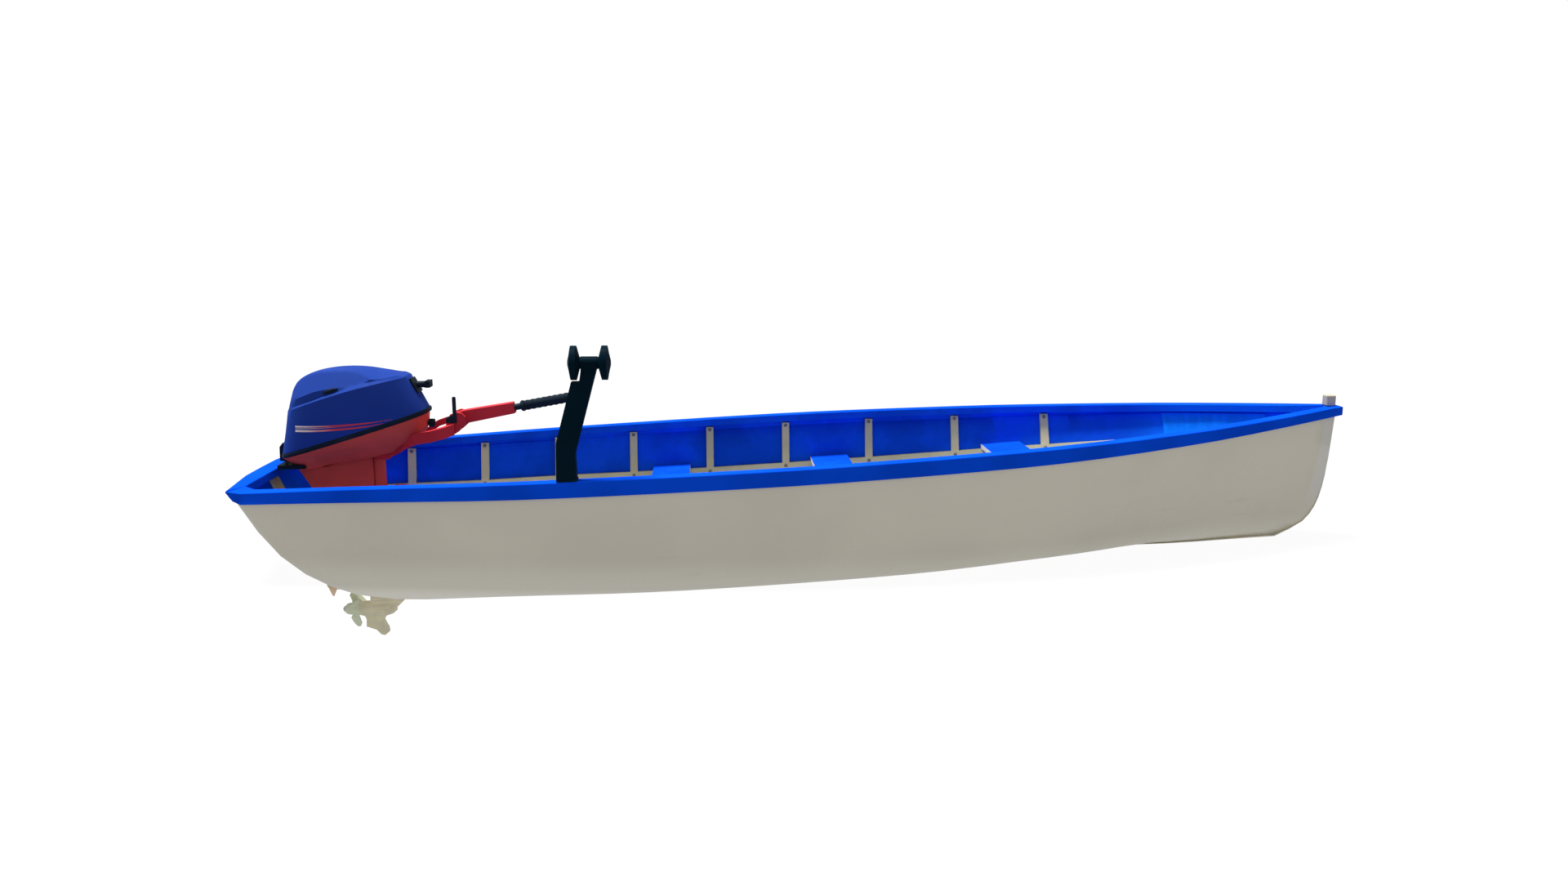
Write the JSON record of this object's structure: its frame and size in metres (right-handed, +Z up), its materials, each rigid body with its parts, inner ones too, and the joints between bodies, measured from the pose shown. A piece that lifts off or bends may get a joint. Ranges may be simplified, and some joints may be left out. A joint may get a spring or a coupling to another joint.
{
  "type": "open skiff with a tiller outboard motor",
  "caption": "Open fibreglass skiff with raked stern, straps and stringers inside, thwarts, a motor well with a tiller outboard, and a post with a line roller.",
  "frame": {"origin": "on the centreline at the waterline, halfway between the stern corners and the bow tip", "axes": "+X to the bow, +Y to port, +Z up"},
  "size_m": [4.7303, 1.4081, 1.337],
  "materials": {
    "hull_white": "satin gelcoat, off-white",
    "rail_blue": "gloss blue paint",
    "inner_blue": "satin blue paint",
    "frame_grey": "matt grey-beige paint",
    "wood": "weathered board",
    "post_black": "satin black-blue paint",
    "steel": "brushed",
    "motor_blue": "gloss paint",
    "motor_red": "gloss paint",
    "black_plastic": "matt",
    "alloy_pale": "cast, weathered"
  },
  "bodies": {
    "hull": {"hull_shell": "hull_white", "gunwale_port": "rail_blue", "gunwale_starboard": "rail_blue", "gunwale_stern": "rail_blue", "breasthook": "rail_blue", "stem_head": "frame_grey", "keel_band": "hull_white", "side_frame_port": "frame_grey", "side_frame_starboard": "frame_grey", "stern_strap": "frame_grey", "thwart_aft": "inner_blue", "thwart_middle": "inner_blue", "thwart_fore": "inner_blue", "bow_lining_port": "inner_blue", "bow_lining_starboard": "inner_blue", "floor_frame": "frame_grey", "sole": "hull_white", "motor_board": "wood", "post_clamp": "post_black", "roller_post": "post_black", "clamp_bracket": "motor_red", "clamp_screw_port": "steel", "clamp_screw_starboard": "steel"},
    "tilt_bracket": {"swivel_bracket": "motor_red"},
    "outboard": {"cowl": "motor_blue", "cowl_seal": "black_plastic", "lower_cowling": "motor_red", "powerhead": "steel", "aft_latch": "black_plastic", "carry_handle": "black_plastic", "starter_plate": "black_plastic", "starter_handle": "black_plastic", "midsection": "motor_red", "lower_unit": "alloy_pale", "trim_tab": "motor_red", "steering_bracket": "motor_red", "shift_lever": "black_plastic", "link_knob": "black_plastic"},
    "tiller": {"tiller_arm": "motor_red", "tiller_neck": "black_plastic", "tiller_grip": "black_plastic"},
    "propeller_shaft": {"propeller": "alloy_pale", "propeller_nut": "steel"},
    "line_roller": {"roller_shaft": "steel", "roller_disc_fore": "post_black", "roller_disc_aft": "post_black"}
  },
  "joints": [
    {"name": "outboard_tilt", "type": "hinge", "parent": "hull", "child": "tilt_bracket", "pos_m": [-1.79, 0, 0.253], "axis": [0, 1, 0], "range_deg": [0, 40]},
    {"name": "outboard_steer", "type": "hinge", "parent": "tilt_bracket", "child": "outboard", "pos_m": [-1.862, 0, 0.4], "axis": [0, 0, 1], "range_deg": [-35, 35]},
    {"name": "tiller_fold", "type": "hinge", "parent": "outboard", "child": "tiller", "pos_m": [-1.517, 0, 0.5715], "axis": [0, -1, 0], "range_deg": [0, 80]},
    {"name": "propeller_spin", "type": "hinge", "parent": "outboard", "child": "propeller_shaft", "pos_m": [-2.001, 0, -0.273], "axis": [1, 0, 0], "continuous": true},
    {"name": "line_roller_spin", "type": "hinge", "parent": "hull", "child": "line_roller", "pos_m": [-0.887, -0.6435, 0.876], "axis": [1, 0, 0], "continuous": true}
  ]
}
